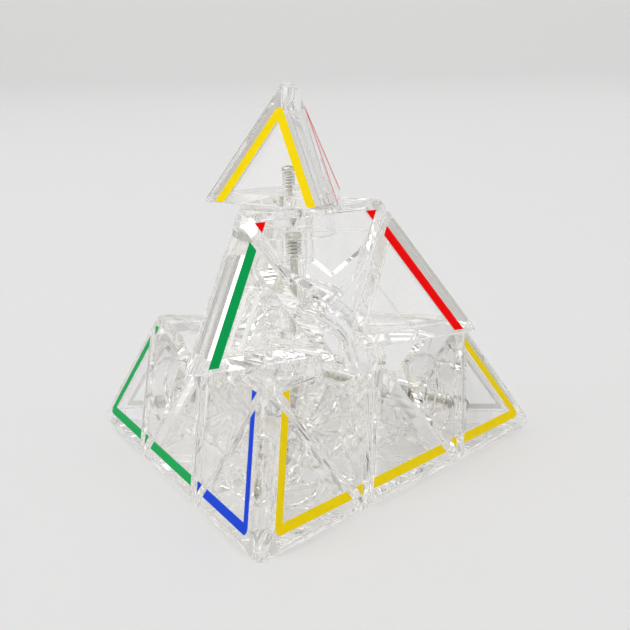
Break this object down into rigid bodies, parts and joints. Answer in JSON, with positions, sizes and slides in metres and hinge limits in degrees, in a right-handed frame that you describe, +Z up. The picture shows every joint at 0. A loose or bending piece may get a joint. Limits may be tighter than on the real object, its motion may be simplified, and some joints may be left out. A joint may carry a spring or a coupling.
{
  "type": "pyramid twisty puzzle",
  "caption": "Clear pyramid twisty puzzle with a spring-loaded core, printed outline stripes, a turning top layer and turning corner tips.",
  "frame": {"origin": "on the table, under the middle of the object's box", "axes": "+Z up, along the top corner's turning axis; the base's front corner points towards -Y, and its right and left corners towards +X and -X"},
  "size_m": [0.098, 0.0876, 0.0806],
  "materials": {
    "clear_plastic": "clear moulded, polished",
    "clear_core_plastic": "clear moulded, polished",
    "screw_steel": "plated, satin",
    "spring_steel": "bright drawn wire"
  },
  "bodies": {
    "base_layer": {"core": "clear_core_plastic", "top_screw": "screw_steel", "top_spring": "spring_steel", "top_washer": "screw_steel", "front_screw": "screw_steel", "front_spring": "spring_steel", "front_washer": "screw_steel", "front_axial": "clear_plastic", "front_axial_cap": "clear_plastic", "front_tip_screw": "screw_steel", "front_tip_spring": "spring_steel", "right_screw": "screw_steel", "right_spring": "spring_steel", "right_washer": "screw_steel", "right_axial": "clear_plastic", "right_axial_cap": "clear_plastic", "right_tip_screw": "screw_steel", "right_tip_spring": "spring_steel", "left_screw": "screw_steel", "left_spring": "spring_steel", "left_washer": "screw_steel", "left_axial": "clear_plastic", "left_axial_cap": "clear_plastic", "left_tip_screw": "screw_steel", "left_tip_spring": "spring_steel", "front_right_edge": "clear_plastic", "front_right_edge_foot": "clear_plastic", "right_left_edge": "clear_plastic", "right_left_edge_foot": "clear_plastic", "left_front_edge": "clear_plastic", "left_front_edge_foot": "clear_plastic"},
    "top_layer": {"top_axial": "clear_plastic", "top_axial_cap": "clear_plastic", "top_tip_screw": "screw_steel", "top_tip_spring": "spring_steel", "top_front_edge": "clear_plastic", "top_front_edge_foot": "clear_plastic", "top_right_edge": "clear_plastic", "top_right_edge_foot": "clear_plastic", "top_left_edge": "clear_plastic", "top_left_edge_foot": "clear_plastic"},
    "top_tip": {"top_tip": "clear_plastic", "top_tip_base": "clear_plastic"},
    "front_tip": {"front_tip": "clear_plastic", "front_tip_base": "clear_plastic"},
    "right_tip": {"right_tip": "clear_plastic", "right_tip_base": "clear_plastic"},
    "left_tip": {"left_tip": "clear_plastic", "left_tip_base": "clear_plastic"}
  },
  "joints": [
    {"name": "top_layer_turn", "type": "hinge", "parent": "base_layer", "child": "top_layer", "pos_m": [0, 0.01257, 0.02123], "axis": [0, 0, 1], "continuous": true},
    {"name": "top_tip_turn", "type": "hinge", "parent": "top_layer", "child": "top_tip", "pos_m": [0, 0.01257, 0.02123], "axis": [0, 0, 1], "continuous": true},
    {"name": "front_tip_turn", "type": "hinge", "parent": "base_layer", "child": "front_tip", "pos_m": [0, 0.01257, 0.02123], "axis": [0, -0.9428, -0.3333], "continuous": true},
    {"name": "right_tip_turn", "type": "hinge", "parent": "base_layer", "child": "right_tip", "pos_m": [0, 0.01257, 0.02123], "axis": [0.8165, 0.4714, -0.3333], "continuous": true},
    {"name": "left_tip_turn", "type": "hinge", "parent": "base_layer", "child": "left_tip", "pos_m": [0, 0.01257, 0.02123], "axis": [-0.8165, 0.4714, -0.3333], "continuous": true}
  ]
}
